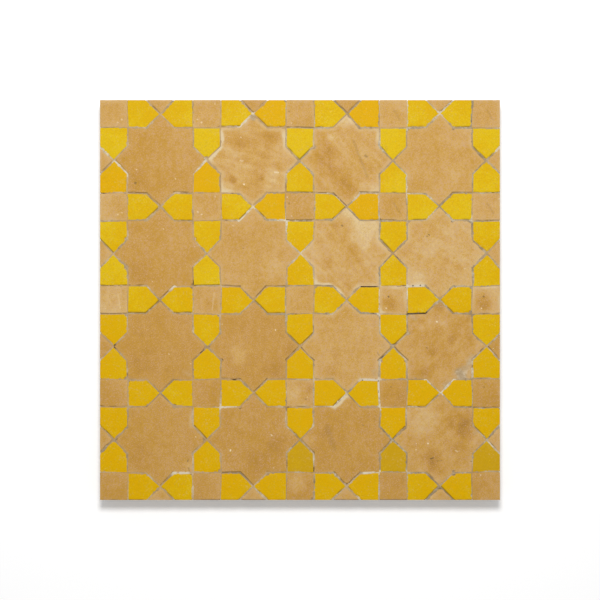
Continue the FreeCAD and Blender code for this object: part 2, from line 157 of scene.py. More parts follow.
# What single tiles carry: x and y in millimetres from the tile's middle, a reach and an amount. Tone
# shifts the clay's own colour, haze is lime along the rim, and film is a smear of mortar. Streaks have
# an angle to the X axis, in degrees, and an amount. Strokes are specks and scratches: from, to, the
# width and how strong, where lime is above 0 and a pit below.
MARKS = {
    "star_tile_r1_c1": {
        "tone": ((-18, -16, 14, -0.1), (14, 16, 14, 0.06)),
        "strokes": ((-18.2, -7, -18, -7.1, 0.6, 0.6), (11.2, -14, 11.4, -14.2, 0.7, 0.5),
                    (5.5, -1.5, 5.6, -1.5, 0.6, 0.3), (-19.3, -17.2, -19, -17.4, 1.2, -0.6)),
    },
    "star_tile_r1_c2": {
        "tone": ((-13, 15, 9, -0.17), (-2, 17, 9, -0.15), (12, 13, 10, -0.17), (-10, -9, 12, 0.1),
                 (-15.5, -14.5, 4, -0.58), (5.5, -13.5, 4, -0.44), (14, -17, 10, 0.18),
                 (-21, -22, 8, 0.26), (-16, 7, 7, 0.18), (4, -2, 6, -0.1)),
        "haze": ((-24, 18, 9, 1.4), (-26, 8, 8, 1.4), (-31, 3, 6, 1.3), (24, 17, 9, 0.9), (-22, -24, 8, 0.8)),
        "streaks": (-14, 0.22),
        "film": ((0.5, 33, 4.2, 1.0),),
        "strokes": ((-7.2, -18.3, -6.8, -18.5, 0.8, 0.9), (16.5, -9.1, 18.9, -9.3, 1.0, 0.5),
                    (-10, -0.3, -8, -0.5, 0.9, 0.4), (-9.4, 17.5, -9.3, 17.4, 0.6, 0.6)),
    },
    "star_tile_r1_c3": {
        "tone": ((-15.6, 2.2, 12, -0.27), (-7, -10, 10, -0.22), (0, -20, 10, -0.17), (2, 0, 9, 0.17),
                 (21, -20, 6, 0.3), (0, 30, 6, 0.25), (-12, 18, 4, 0.25), (13, 6, 9, 0.06),
                 (13, -20, 5, 0.2)),
        "streaks": (-52, 0.16),
        "haze": ((24, 20, 8, 0.9), (22, -23, 7, 1.0), (0, 30, 6, 0.8)),
        "strokes": ((5.5, 14.5, 16, -12.5, 1.4, -0.15), (14.5, 3.5, 15.5, 3, 1.3, -0.4)),
    },
    "star_tile_r1_c4": {
        "tone": ((-12, 4, 12, -0.07), (14, -8, 12, 0.12)),
    },
    "star_tile_r2_c1": {
        "tone": ((-16, -16, 16, -0.12), (12, 12, 14, 0.05)),
        "strokes": ((2.2, 18.5, 2.3, 18.4, 0.6, 0.6),),
    },
    "star_tile_r2_c2": {
        "tone": ((14, -12, 13, 0.14), (-14, 10, 12, -0.08)),
        "strokes": ((-15.6, 21.4, -15.4, 21.2, 0.8, 0.4),),
    },
    "star_tile_r2_c3": {
        "tone": ((14, 16, 14, 0.36), (2, 30, 8, 0.34), (8, 24, 8, 0.15), (-9, 22, 6, -0.14),
                 (-1, 13, 5, -0.12), (5, 3, 6, -0.14), (10, -4, 6, -0.12), (-15, -8, 7, -0.12),
                 (0, -21, 9, -0.1), (16, -16, 7, -0.12)),
        "haze": ((-23, -25, 6, 1.3), (-16, -25.5, 6, 1.4), (-9, -28, 5, 1.5), (-4, -33, 5, 1.4),
                 (8, -28, 5, 0.8)),
        "streaks": (-48, 0.16),
        "strokes": ((-3.5, 21.5, -3, 21, 0.7, -0.6),),
    },
    "star_tile_r2_c4": {
        "tone": ((6, -7, 6, -0.2), (-17, 18, 8, -0.12), (-26, 1, 7, -0.12), (-5, -22, 8, -0.14),
                 (15, -10, 5, -0.12), (15, -1, 9, 0.08), (-16, -20, 7, 0.14)),
        "haze": ((-18, -24, 8, 0.9),),
        "streaks": (-35, 0.12),
        "strokes": ((-8.5, 14.5, -8, 14.1, 0.7, -0.6), (-9.9, 13.1, -9.5, 12.9, 0.6, -0.5)),
    },
    "star_tile_r3_c1": {
        "tone": ((-14, -12, 14, -0.1),),
        "film": ((20, -21, 7, 0.35),),
        "strokes": ((6.6, -5.5, 6.7, -5.6, 0.6, 0.6),),
    },
    "star_tile_r3_c2": {
        "tone": ((-10, -6, 10, 0.27), (17, -18, 10, -0.16), (28, -2, 7, -0.16), (-8, 14, 8, -0.05)),
        "strokes": ((16.5, 12.5, 16.8, 12.7, 0.7, 0.8), (-24, 17, -23.8, 17, 0.6, 0.5)),
    },
    "star_tile_r3_c3": {
        "tone": ((-10, -19, 9, -0.12), (-8, -7, 5, -0.12), (8, 14, 12, 0.06)),
        "film": ((21, -19, 8, 0.42), (28, 1, 6, 0.38)),
        "strokes": ((23.5, -4.5, 25, -6.5, 0.5, -0.35),),
    },
    "star_tile_r3_c4": {
        "tone": ((0, 32, 5, -0.25), (23, 22, 5, -0.16), (-14, 19, 5, -0.16), (-22, 12, 5, -0.16),
                 (9, 5, 5, -0.2), (-6, -5, 7, -0.12), (-14, -20, 9, -0.12), (-14, 15, 4, 0.16),
                 (3, 19, 4, 0.14)),
        "film": ((20, -18, 9, 0.6), (14, -24, 7, 0.6), (6, -31, 7, 0.55), (-20, 22, 6, 0.45),
                 (24, -9, 6, 0.5)),
        "streaks": (50, 0.14),
        "strokes": ((-2.5, 19, -2.3, 18.9, 0.8, 0.9), (-10.1, -0.7, -9.7, -1.1, 0.6, -0.5)),
    },
    "star_tile_r4_c1": {
        "tone": ((-16, -12, 16, -0.1), (22, -20, 5, 0.2)),
        "haze": ((22, 14, 8, 0.5),),
        "strokes": ((20.9, -16.5, 21.5, -15.5, 0.7, -0.5), (21.9, -21.5, 22.3, -24, 0.6, -0.4)),
    },
    "star_tile_r4_c2": {
        "tone": ((18, -5, 12, -0.15), (4, -18, 14, -0.14), (-10, 14, 12, 0.03)),
        "strokes": ((-17.9, -8.3, -17.7, -7.9, 0.9, 0.9), (13.3, 4, 13.9, 3.1, 0.6, 0.6),
                    (15.3, -21.5, 15.5, -21.5, 0.6, 0.6)),
    },
    "star_tile_r4_c3": {
        "tone": ((-15, 4, 8, -0.12), (-29, 0, 7, 0.18), (-2, 27, 6, 0.14), (8, -6, 14, 0.06)),
        "haze": ((-9.5, 25.5, 4.5, 1.7), (-5.5, 29.5, 4.5, 1.7), (-2, 33, 4, 1.5)),
        "film": ((27, 5, 4, 0.42),),
        "strokes": ((-14.9, 9.5, -9.7, -6.5, 3.2, -0.13), (12.4, 11.2, 12.6, 11, 0.7, -0.4)),
    },
    "star_tile_r4_c4": {
        "tone": ((-12, 15, 15, 0.24), (18, 10, 14, -0.42), (14, -5, 9, -0.12), (-6, -14, 10, -0.34),
                 (-3, -22, 8, -0.16)),
        "streaks": (48, 0.16),
        "film": ((27, 5, 4, 0.42),),
        "strokes": ((-9.2, -2.9, -9, -3.1, 0.7, 0.8), (12, -8.4, 13.4, -9.2, 0.8, 0.4),
                    (-7, -14.5, -5, -14, 0.6, -0.85), (-2.5, -16.5, 1.5, -15.9, 0.4, -0.4),
                    (23.5, -16.5, 24.1, -16.7, 0.8, -0.5)),
    },
    "square_tile_r1_c1": {
        "strokes": ((3.2, -6.8, 3.4, -6.9, 0.9, 0.4), (6.2, -4.5, 6.4, -4.6, 0.9, 0.4)),
    },
    "square_tile_r1_c2": {
        "strokes": ((-7.2, -4.5, -7, -4.6, 0.9, 0.5), (-4.1, -6.7, -4, -6.9, 0.9, 0.5),
                    (6.1, 7.5, 6.2, 7.4, 0.8, 0.4)),
    },
    "square_tile_r2_c1": {
        "strokes": ((3.2, -5.7, 3.4, -5.8, 0.9, 0.4), (6.2, -4.3, 6.4, -4.4, 0.9, 0.4)),
    },
    "square_tile_r2_c2": {
        "strokes": ((-7, -3.9, -6.8, -4, 0.9, 0.5), (-4.1, -5.7, -4, -5.9, 0.9, 0.5),
                    (6.3, 7.8, 6.4, 7.7, 0.8, 0.4)),
    },
    "square_tile_r1_c3": {
        "strokes": ((-8.5, 1.7, -8.3, 1.5, 0.8, -0.4), (-6.6, -7, -6.5, -7.2, 0.9, 0.3)),
    },
    "square_tile_r2_c3": {
        "strokes": ((-8.5, 2.6, -8.3, 2.4, 0.8, -0.4), (-6.6, -7, -6.5, -7.2, 0.9, 0.3)),
    },
    "square_tile_r1_c4": {
        "strokes": ((0.6, 2.2, 5.2, -4.8, 1.1, -0.12),),
    },
    "square_tile_r2_c4": {
        "strokes": ((0.6, 2.6, 5.4, -4.8, 1.1, -0.13),),
    },
    "square_tile_r1_c5": {
        "strokes": ((0.6, 2.2, 5.2, -5.4, 1.1, -0.12),),
    },
    "square_tile_r2_c5": {
        "strokes": ((0.6, 2.6, 5.4, -4.8, 1.1, -0.13),),
    },
    "square_tile_r3_c1": {
        "tone": ((1, 0, 5, -0.08), (-6, 2, 4, 0.08)),
        "strokes": ((3.4, 4, 5.2, -6, 0.9, 0.18),),
    },
    "square_tile_r3_c2": {
        "tone": ((2, -4, 6, -0.1), (7, 3, 4, 0.08)),
        "strokes": ((5.6, 5, 4.2, -7, 0.9, 0.18),),
    },
    "square_tile_r3_c3": {
        "tone": ((0, 0, 10, 0.06),),
    },
    "square_tile_r3_c4": {
        "tone": ((-4, -1, 6, -0.26), (-1, -6, 6, -0.16), (7, 5, 6, 0.1)),
        "haze": ((4, 9, 8, 0.7), (9, 0, 7, 0.5), (-9, -8, 5, 0.8)),
        "strokes": ((-3.7, 2.6, -3.5, 2.4, 0.9, -0.7), (-5.4, -6.2, -5.3, -6.4, 0.6, 0.7)),
    },
    "square_tile_r3_c5": {
        "tone": ((-2, -1, 6, -0.26), (0, -6, 6, -0.16), (7, 5, 6, 0.1)),
        "haze": ((4, 9, 8, 0.7), (9, 0, 7, 0.5)),
        "strokes": ((-2.2, 2.6, -2, 2.4, 0.9, -0.7), (-3.8, -6.2, -3.7, -6.4, 0.6, 0.7)),
    },
    "square_tile_r4_c3": {
        "tone": ((-4, 0, 9, 0.18), (8, 3, 5, -0.22), (-5, 7, 4, 0.14), (2, -7, 5, 0.12)),
        "haze": ((3, -9, 6, 0.4),),
        "strokes": ((4.4, -4.4, 4.6, -4.6, 0.8, -0.35), (5.6, -3, 5.7, -3.2, 0.7, 0.3)),
    },
    "square_tile_r4_c4": {
        "tone": ((6, -4, 6, -0.06),),
        "strokes": ((-1.8, 4.8, -1.6, 4.6, 0.7, -0.5),),
    },
    "square_tile_r4_c5": {
        "tone": ((6, -4, 6, -0.06),),
        "strokes": ((-1.8, 4.8, -1.6, 4.6, 0.7, -0.5),),
    },
    "square_tile_r5_c3": {
        "tone": ((-3, 4, 9, 0.22), (8, 3, 4, -0.14)),
    },
}
STROKES = 5  # the most that one tile carries

# Arrows deeper or paler than their like, paler along the top row and duller along the bottom one: x and y in
# millimetres, and the tone
ARROW_TONES = (
    (-142, 92, 0.05), (-71, 92, 0.05), (-21, 71, 0.12), (50, 71, 0.0), (50, 142, 0.0), (-21, 142, 0.12),
    (-142, 122, 0.62), (-71, 122, 0.66), (0, 122, 0.64), (71, 122, 0.66), (142, 122, 0.62),
    (93, 71, 0.55), (122, 71, 0.6), (-142, 19, 0.58), (-71, 19, 0.6), (-93, -142, 0.4), (-93, -71, 0.4),
    (142, -122, 1.12), (0, -122, 1.06), (71, -122, 1.12),
)
NAMED_REACH = 8  # how near an arrow's middle lies to its place in the list

# Stretches of joint, in millimetres: from, to, and how far to each side. Gaps are where mortar has come
# out, pale ones have been filled again with lime, and gritty ones are lumps of lime with holes.
GAPS = (
    (48, 10.4, 57, 10.4, 2.2), (82.5, -10.4, 96, -10.4, 2.2), (9, -129.5, 11, -129, 2),
    (-50, -61, -50, -60, 1.6),
)
PALE = (
    (82, 152, 82, 131, 2.5), (82, 98, 82, 76, 2.5), (-152, 116, -142.5, 106.5, 2.5),
    (-142.5, 106.5, -132, 96, 2.5), (-81, 97, -71, 107, 2.5), (-46, 131, -35, 142, 2.5),
    (-46, 60.5, -35, 71, 2.5), (-10, 60, -10, 53, 2.5), (-13, -89, -11, -98, 2.5),
    (60.5, 9, 60.5, -10, 3.0), (81.5, 10, 81.5, 2, 2.5), (60.5, -61, 60.5, -82, 2.5),
    (96, -61, 106.5, -71, 2.5), (107, -71, 117, -61, 2.5), (50, -131.5, 60, -131.5, 2.5),
    (25, -82, 35, -71, 2.5), (-96, -131.5, -86, -131.5, 2.5), (-60, -81, -50, -81, 2.5),
    (131, 61, 142, 71, 2.5), (-118, 10.4, -96, 10.4, 2.5),
)
GRIT = (
    (46, -60.6, 60, -60.6, 3), (62, -64, 62, -72, 3), (84, 10.4, 93, 10.4, 3), (151, 116, 151, 124, 4),
    (-101, 10, -97, 10, 3), (-9, -122, -7, -122, 2.5),
)

# Colours, as a paint chart would give them
CLAY_TONES = ((0.0, (166, 119, 46)), (0.35, (194, 145, 64)), (0.6, (208, 165, 95)), (1.0, (224, 197, 145)))
CLAY_BUFF = (203, 161, 124)
CLAY_RICH = (199, 153, 42)
LIME = (224, 205, 166)
LIME_SPECK = (242, 228, 192)
PIT = (104, 86, 60)
# Painted shade along the tiles' edges
PAINTED_EDGE_SHADE = (104, 78, 40)
GLAZE_DEEP = (228, 174, 0)
GLAZE_MID = (224, 178, 0)
GLAZE_LEMON = (229, 195, 22)
GLAZE_DULL = (208, 163, 22)
GLAZE_FLECK = (221, 186, 112)
GLAZE_SHADE = (166, 132, 12)
GLAZE_PIN = (166, 128, 24)
MORTAR_DARK = (132, 116, 90)
MORTAR_MID = (174, 158, 131)
MORTAR_PALE = (220, 208, 182)
MORTAR_GRAIN = (122, 102, 74)
# Painted shade inside the holes in the mortar
MORTAR_HOLE_SHADE = (76, 60, 40)
# Painted shade for the mortar deep in the joints
MORTAR_SHADE = (84, 70, 50)
CLAY_DUST = (196, 158, 104)
FLOOR_WHITE = (0.97, 0.97, 0.97, 1)


def linear(colour):
    """A colour chart's 0 to 255 values as the linear ones that a shader takes."""
    shares = [c / 255 for c in colour]
    return [s / 12.92 if s <= 0.04045 else ((s + 0.055) / 1.055) ** 2.4 for s in shares] + [1.0]


class Nodes:
    """A few short words for wiring a node tree."""

    def __init__(self, tree):
        self.tree = tree

    def add(self, kind, values=(), **settings):
        node = self.tree.nodes.new(kind)
        for name, value in settings.items():
            setattr(node, name, value)
        for socket, value in dict(values).items():
            self.feed(node.inputs[socket], value)
        return node

    def feed(self, socket, value):
        """Wires a socket, or sets it to a number or to a charted colour."""
        if isinstance(value, bpy.types.NodeSocket):
            self.tree.links.new(value, socket)
        elif socket.type == "RGBA" and len(value) == 3:
            socket.default_value = linear(value)
        else:
            socket.default_value = value

    def math(self, operation, first, second=0.0, clamp=False):
        values = {0: first, 1: second}
        return self.add("ShaderNodeMath", values, operation=operation, use_clamp=clamp).outputs[0]

    def sum(self, *terms):
        """Terms added up. A pair is a value and its weight."""
        total = 0.0
        for term in terms:
            weighed = self.math("MULTIPLY", *term) if isinstance(term, tuple) else term
            total = self.math("ADD", total, weighed)
        return total

    def vector(self, operation, first, second):
        return self.add("ShaderNodeVectorMath", {0: first, 1: second}, operation=operation).outputs[0]

    def blend(self, share, first, second):
        values = {0: share, 6: first, 7: second}
        return self.add("ShaderNodeMix", values, data_type="RGBA").outputs[2]

    def fade(self, value, start, end):
        """0 before start and 1 past end, with soft ends."""
        values = {0: value, 1: start, 2: end, 3: 0.0, 4: 1.0}
        return self.add("ShaderNodeMapRange", values, interpolation_type="SMOOTHSTEP").outputs[0]

    def ramp(self, value, stops):
        node = self.add("ShaderNodeValToRGB", {0: value})
        marks = node.color_ramp.elements
        while len(marks) < len(stops):
            marks.new(0.5)
        for mark, (place, colour) in zip(marks, stops):
            mark.position = place
            mark.color = linear(colour)
        return node.outputs[0]

    def noise(self, vector, size, detail=3.0, roughness=0.55, distortion=0.0):
        """Noise from -0.5 to 0.5 whose features are about this size, in millimetres."""
        values = {"Vector": vector, "Scale": 1 / (size * MM), "Detail": detail}
        values.update({"Roughness": roughness, "Distortion": distortion})
        return self.math("SUBTRACT", self.add("ShaderNodeTexNoise", values).outputs[0], 0.5)

    def two_noises(self, vector, size):
        """Two fine noises that have nothing to do with each other, out of one texture."""
        values = {"Vector": vector, "Scale": 1 / (size * MM), "Detail": 1, "Roughness": 1.0}
        both = self.add("ShaderNodeTexNoise", values).outputs["Color"]
        parts = self.add("ShaderNodeSeparateColor", {0: both}).outputs
        return self.math("SUBTRACT", parts[0], 0.5), self.math("SUBTRACT", parts[1], 0.5)

    def group(self, tree, **values):
        node = self.add("ShaderNodeGroup", node_tree=tree)
        for name, value in values.items():
            self.feed(node.inputs[name], value)
        return node.outputs


def new_group(name, inputs, outputs):
    """An empty shader group with these sockets, and the words to wire it."""
    tree = bpy.data.node_groups.new(name, "ShaderNodeTree")
    for socket, kind in inputs.items():
        tree.interface.new_socket(socket, in_out="INPUT", socket_type="NodeSocket" + kind)
    for socket, kind in outputs.items():
        tree.interface.new_socket(socket, in_out="OUTPUT", socket_type="NodeSocket" + kind)
    nodes = Nodes(tree)
    entry = nodes.add("NodeGroupInput").outputs
    leave = nodes.add("NodeGroupOutput").inputs
    return tree, nodes, entry, leave


def specks_group():
    """Scattered round specks. Radius and spacing are in millimetres, and share is how many show."""
    kinds = {"Vector": "Vector", "Spacing": "Float", "Radius": "Float", "Share": "Float"}
    tree, n, entry, leave = new_group("Specks", kinds, {"Mask": "Float"})
    per_metre = n.math("DIVIDE", 1 / MM, entry["Spacing"])
    cells = n.add("ShaderNodeTexVoronoi", {"Vector": entry["Vector"], "Scale": per_metre})
    lot = n.add("ShaderNodeSeparateColor", {0: cells.outputs["Color"]})
    radius = n.math("DIVIDE", entry["Radius"], entry["Spacing"])
    uneven = n.math("MULTIPLY", radius, n.math("ADD", lot.outputs[1], 0.5))
    inner = n.math("MULTIPLY", uneven, 0.6)
    dot = n.add("ShaderNodeMapRange", {0: cells.outputs["Distance"], 1: inner, 2: uneven, 3: 1.0, 4: 0.0})
    shown = n.math("LESS_THAN", lot.outputs[0], entry["Share"])
    n.feed(leave["Mask"], n.math("MULTIPLY", dot.outputs[0], shown))
    return tree


def stroke_group():
    """A short stroke. From holds x, y and the width, To holds x, y and how strong it is.

    It passes on the other strokes' lime and pits where they are stronger.
    """
    kinds = {"Vector": "Vector", "From": "Vector", "To": "Vector", "Lime": "Float", "Pits": "Float"}
    tree, n, entry, leave = new_group("Stroke", kinds, {"Lime": "Float", "Pits": "Float"})
    flat = (1, 1, 0)
    start = n.vector("MULTIPLY", entry["From"], flat)
    along = n.vector("SUBTRACT", n.vector("MULTIPLY", entry["To"], flat), start)
    reach = n.vector("SUBTRACT", n.vector("MULTIPLY", entry["Vector"], flat), start)
    dot = n.add("ShaderNodeVectorMath", {0: reach, 1: along}, operation="DOT_PRODUCT").outputs["Value"]
    own = n.add("ShaderNodeVectorMath", {0: along, 1: along}, operation="DOT_PRODUCT").outputs["Value"]
    share = n.math("DIVIDE", dot, own, clamp=True)
    nearest = n.add("ShaderNodeVectorMath", {0: along, "Scale": share}, operation="SCALE").outputs[0]
    apart = n.add("ShaderNodeVectorMath", {0: reach, 1: nearest}, operation="DISTANCE").outputs["Value"]
    width = n.add("ShaderNodeSeparateXYZ", {0: entry["From"]}).outputs[2]
    amount = n.add("ShaderNodeSeparateXYZ", {0: entry["To"]}).outputs[2]
    inner = n.math("MULTIPLY", width, 0.35)
    fading = n.add("ShaderNodeMapRange", {0: apart, 1: inner, 2: width, 3: 1.0, 4: 0.0}).outputs[0]
    mark = n.math("MULTIPLY", fading, amount)
    n.feed(leave["Lime"], n.math("MAXIMUM", entry["Lime"], mark))
    n.feed(leave["Pits"], n.math("MAXIMUM", entry["Pits"], n.math("MULTIPLY", mark, -1)))
    return tree


def mortar_group(specks):
    """Sandy mortar. Grit makes it pale and lumpy, with holes painted dark as painted shade; pale is new lime,
    and dust is worn clay.
    """
    made = {"Color": "Color", "Height": "Float"}
    kinds = {"Vector": "Vector", "Grit": "Float", "Pale": "Float", "Dust": "Float"}
    tree, n, entry, leave = new_group("Sandy mortar", kinds, made)
    where = entry["Vector"]
    wide = n.noise(where, 26, detail=2)
    broad = n.noise(where, 8, detail=3, distortion=0.3)
    patchy = n.noise(where, 2.4, detail=3, roughness=0.6)
    sand = n.noise(where, 0.8, detail=2, roughness=0.7)
    light = n.sum(0.5, (entry["Grit"], 0.5), (entry["Pale"], 0.38))
    tone = n.sum(light, (wide, 1.0), (broad, 1.1), (patchy, 0.7), (sand, 0.7))
    colour = n.ramp(tone, ((0.15, MORTAR_DARK), (0.5, MORTAR_MID), (0.9, MORTAR_PALE)))
    colour = n.blend(entry["Dust"], colour, CLAY_DUST)
    grains = n.group(specks, Vector=where, Spacing=1.5, Radius=0.32, Share=0.4)[0]
    colour = n.blend(n.math("MULTIPLY", grains, 0.3), colour, MORTAR_GRAIN)
    holes = n.group(specks, Vector=where, Spacing=1.9, Radius=0.55, Share=0.55)[0]
    holes = n.math("MULTIPLY", holes, entry["Grit"], clamp=True)
    # Painted shade in the holes of the gritty lumps
    colour = n.blend(n.math("MULTIPLY", holes, 0.85), colour, MORTAR_HOLE_SHADE)
    n.feed(leave["Color"], colour)
    lumps = n.math("MULTIPLY", patchy, n.sum(0.8, (entry["Grit"], 2.0)))
    n.feed(leave["Height"], n.sum(lumps, (sand, 0.7), (grains, 0.4), (holes, -2.0)))
    return tree


def clay_group(specks, mortar):
    """Fired clay: a tone that wanders, with grain, lime specks, pits, haze and a film of mortar."""
    kinds = {name: "Float" for name in ("Tone", "Mottle", "Haze", "Rim", "Film")}
    made = {"Color": "Color", "Roughness": "Float", "Height": "Float"}
    tree, n, entry, leave = new_group("Fired clay", {"Vector": "Vector", **kinds}, made)
    where = entry["Vector"]
    broad = n.noise(where, 24, detail=3.5, roughness=0.6, distortion=0.6)
    patchy = n.noise(where, 7, detail=4, roughness=0.65, distortion=0.3)
    stretched = n.add("ShaderNodeMapping", {"Vector": where, "Rotation": (0, 0, 0.7), "Scale": (1, 0.2, 1)})
    wiped = n.noise(stretched.outputs[0], 3.5, detail=3)
    grain = n.noise(where, 0.9, detail=2, roughness=0.75)
    cloud = n.noise(where, 2.4, detail=2, roughness=0.6)
    wander = n.sum(broad, (patchy, 0.8), (wiped, 0.4))
    wander = n.math("MULTIPLY", wander, n.math("MULTIPLY", entry["Mottle"], 2.2))
    tone = n.sum(entry["Tone"], wander, (grain, 0.46), (cloud, 0.30))
    colour = n.ramp(tone, CLAY_TONES)
    aside = n.vector("ADD", where, (0.31, 0.13, 0.22))
    warmth, green = n.two_noises(where, 0.9)
    hue = n.sum(warmth, (wiped, 0.2), (broad, 0.18))
    colour = n.blend(n.math("MULTIPLY", n.fade(hue, -0.02, 0.24), 0.8), colour, CLAY_BUFF)
    colour = n.blend(n.math("MULTIPLY", n.fade(hue, 0.02, -0.24), 0.65), colour, CLAY_RICH)
    flecks = {0: green, 1: (0.26, 0.30, -0.22), 2: (1, 1, 1)}
    flecks = n.add("ShaderNodeVectorMath", flecks, operation="MULTIPLY_ADD").outputs[0]
    colour = n.vector("MULTIPLY", colour, flecks)
    # The haze hugs the rim, and thins out unevenly towards the middle.
    ragged = n.sum(entry["Rim"], (patchy, 5.0), (cloud, 2.0))
    band = n.math("SUBTRACT", 1.0, n.fade(ragged, 0.6, 2.9))
    thin = n.math("ADD", 0.6, n.noise(where, 15, detail=2))
    haze = n.math("MULTIPLY", n.math("MULTIPLY", band, thin), entry["Haze"], clamp=True)
    colour = n.blend(n.math("MULTIPLY", haze, 0.85), colour, LIME)
    lime = n.group(specks, Vector=where, Spacing=8.5, Radius=0.42, Share=0.36)[0]
    dust = n.group(specks, Vector=where, Spacing=2.6, Radius=0.3, Share=0.35)[0]
    pits = n.group(specks, Vector=aside, Spacing=9.0, Radius=0.38, Share=0.2)[0]
    colour = n.blend(n.math("MULTIPLY", dust, 0.25), colour, LIME_SPECK)
    colour = n.blend(n.math("MULTIPLY", lime, 0.7), colour, LIME_SPECK)
    colour = n.blend(n.math("MULTIPLY", pits, 0.45), colour, PIT)
    cement = n.group(mortar, Vector=where, Grit=0.0, Pale=0.1, Dust=0.25)
    film = n.fade(n.sum(entry["Film"], (patchy, 0.35), (cloud, 0.35)), 0.12, 0.9)
    colour = n.blend(n.math("MULTIPLY", film, 0.9), colour, cement["Color"])
    n.feed(leave["Color"], colour)
    n.feed(leave["Roughness"], n.sum(0.82, (grain, 0.2)))
    height = n.sum((grain, 0.5), (patchy, 0.8), (pits, -1.2), (lime, 0.25), (film, cement["Height"]))
    n.feed(leave["Height"], height)
    return tree


def new_material(name):
    """A material, its shader, and the words to wire it."""
    material = bpy.data.materials.new(name)
    material.use_nodes = True
    return material, Nodes(material.node_tree), material.node_tree.nodes["Principled BSDF"]


def painted(n, name):
    """A value painted on the tile."""
    return n.add("ShaderNodeAttribute", attribute_name=name).outputs["Fac"]


def on_sheet(n):
    return n.add("ShaderNodeTexCoord").outputs["Object"]


def own_place(n):
    """Object coordinates, shifted by the tile's own lot so that no two tiles look alike."""
    shift = n.add("ShaderNodeVectorMath", {0: (1.7, 2.9, 0.6), "Scale": painted(n, "lot")}, operation="SCALE")
    return n.vector("ADD", on_sheet(n), shift.outputs[0])


def body_share(n):
    """1 on the tile's sides below its face, and 0 on the face."""
    height = n.add("ShaderNodeSeparateXYZ", {0: on_sheet(n)}).outputs[2]
    return n.math("SUBTRACT", 1.0, n.fade(height, FACE_Z - 1.1 * MM, FACE_Z - 0.8 * MM))


def strokes_on(n, stroke):
    """Where the tile's strokes lie, a little ragged: the lime, and the pits."""
    ragged = n.add("ShaderNodeTexNoise", {"Vector": on_sheet(n), "Scale": 0.7 / MM}).outputs["Color"]
    nudge = n.vector("MULTIPLY", n.vector("SUBTRACT", ragged, (0.5, 0.5, 0.5)), (1.2 * MM, 1.2 * MM, 0))
    where = n.vector("ADD", on_sheet(n), nudge)
    marks = {"Lime": 0.0, "Pits": 0.0}
    for number in range(STROKES):
        start = n.add("ShaderNodeAttribute", attribute_name=f"stroke_from_{number}").outputs["Vector"]
        end = n.add("ShaderNodeAttribute", attribute_name=f"stroke_to_{number}").outputs["Vector"]
        marks = n.group(stroke, Vector=where, From=start, To=end, Lime=marks["Lime"], Pits=marks["Pits"])
    return marks["Lime"], marks["Pits"]


def finish_shader(n, shader, colour, roughness, height, depth):
    """Feeds the shader. Depth is how deep the relief goes, in millimetres."""
    bump = n.add("ShaderNodeBump", {"Height": height, "Distance": depth * MM, "Strength": 1.0})
    n.feed(shader.inputs["Base Color"], colour)
    n.feed(shader.inputs["Roughness"], roughness)
    n.feed(shader.inputs["Normal"], bump.outputs[0])


def natural_clay(clay, stroke):
    material, n, shader = new_material("natural_clay_finish")
    values = {name: painted(n, name.lower()) for name in ("Tone", "Mottle", "Rim", "Film")}
    values["Haze"] = n.math("MULTIPLY", painted(n, "haze"), n.math("SUBTRACT", 1.0, body_share(n)))
    body = n.group(clay, Vector=own_place(n), **values)
    pale, dark = strokes_on(n, stroke)
    colour = n.blend(dark, body["Color"], PIT)
    colour = n.blend(pale, colour, LIME_SPECK)
    # Painted shade along the tile's edges, darkest on the lower ones
    colour = n.blend(painted(n, "grime"), colour, PAINTED_EDGE_SHADE)
    height = n.sum(body["Height"], (dark, -0.8), (pale, 0.2))
    finish_shader(n, shader, colour, body["Roughness"], height, 0.10)
    shader.inputs["Specular IOR Level"].default_value = 0.25
    return material


def yellow_glaze(clay, specks):
    """Ochre glaze over clay, which shows where the glaze is chipped and on the tile's sides."""
    material, n, shader = new_material("yellow_glaze_finish")
    where = own_place(n)
    rim = painted(n, "rim")
    broad = n.noise(where, 10, detail=3, distortion=0.4)
    blotch = n.noise(where, 2.3, detail=2, roughness=0.6)
    speckle = n.noise(where, 0.9, detail=2, roughness=0.8)
    tone = n.sum(painted(n, "tone"), (broad, 0.5), (blotch, 0.45), (speckle, 0.9))
    colour = n.ramp(tone, ((0.0, GLAZE_DEEP), (0.4, GLAZE_MID), (0.7, GLAZE_LEMON), (1.0, GLAZE_DULL)))
    flecks = n.fade(n.sum(n.noise(where, 1.4, detail=1.5, roughness=1.0), (broad, 0.4)), 0.04, 0.28)
    colour = n.blend(n.math("MULTIPLY", flecks, 0.46), colour, GLAZE_FLECK)
    shade = n.fade(n.noise(where, 0.85, detail=1, roughness=1.0), -0.2, 0.2)
    colour = n.blend(n.math("MULTIPLY", shade, 0.22), colour, GLAZE_SHADE)
    pin = n.group(specks, Vector=where, Spacing=3.4, Radius=0.3, Share=0.3)[0]
    colour = n.blend(n.math("MULTIPLY", pin, 0.3), colour, GLAZE_PIN)
    ragged = n.sum(rim, (n.noise(where, 1.6), 0.9))
    chipped = n.math("SUBTRACT", 1.0, n.fade(ragged, -0.62, -0.42))
    bare = n.math("MAXIMUM", chipped, body_share(n))
    body = n.group(clay, Vector=where, Tone=0.6, Mottle=0.15, Haze=0.0, Rim=rim, Film=painted(n, "film"))
    colour = n.blend(bare, colour, body["Color"])
    cement = n.fade(n.sum(painted(n, "film"), (blotch, 0.5)), 0.2, 0.7)
    colour = n.blend(cement, colour, body["Color"])
    dull = n.math("MAXIMUM", bare, cement)
    # Painted shade along the tile's edges, darkest on the lower ones
    colour = n.blend(painted(n, "grime"), colour, PAINTED_EDGE_SHADE)
    rough = n.sum(0.5, (speckle, 0.3), (dull, 0.35))
    height = n.sum((speckle, 0.35), (blotch, 0.5), (broad, 1.0), (pin, -0.3), (bare, -0.8))
    finish_shader(n, shader, colour, rough, height, 0.08)
    shader.inputs["Specular IOR Level"].default_value = 0.05
    return material


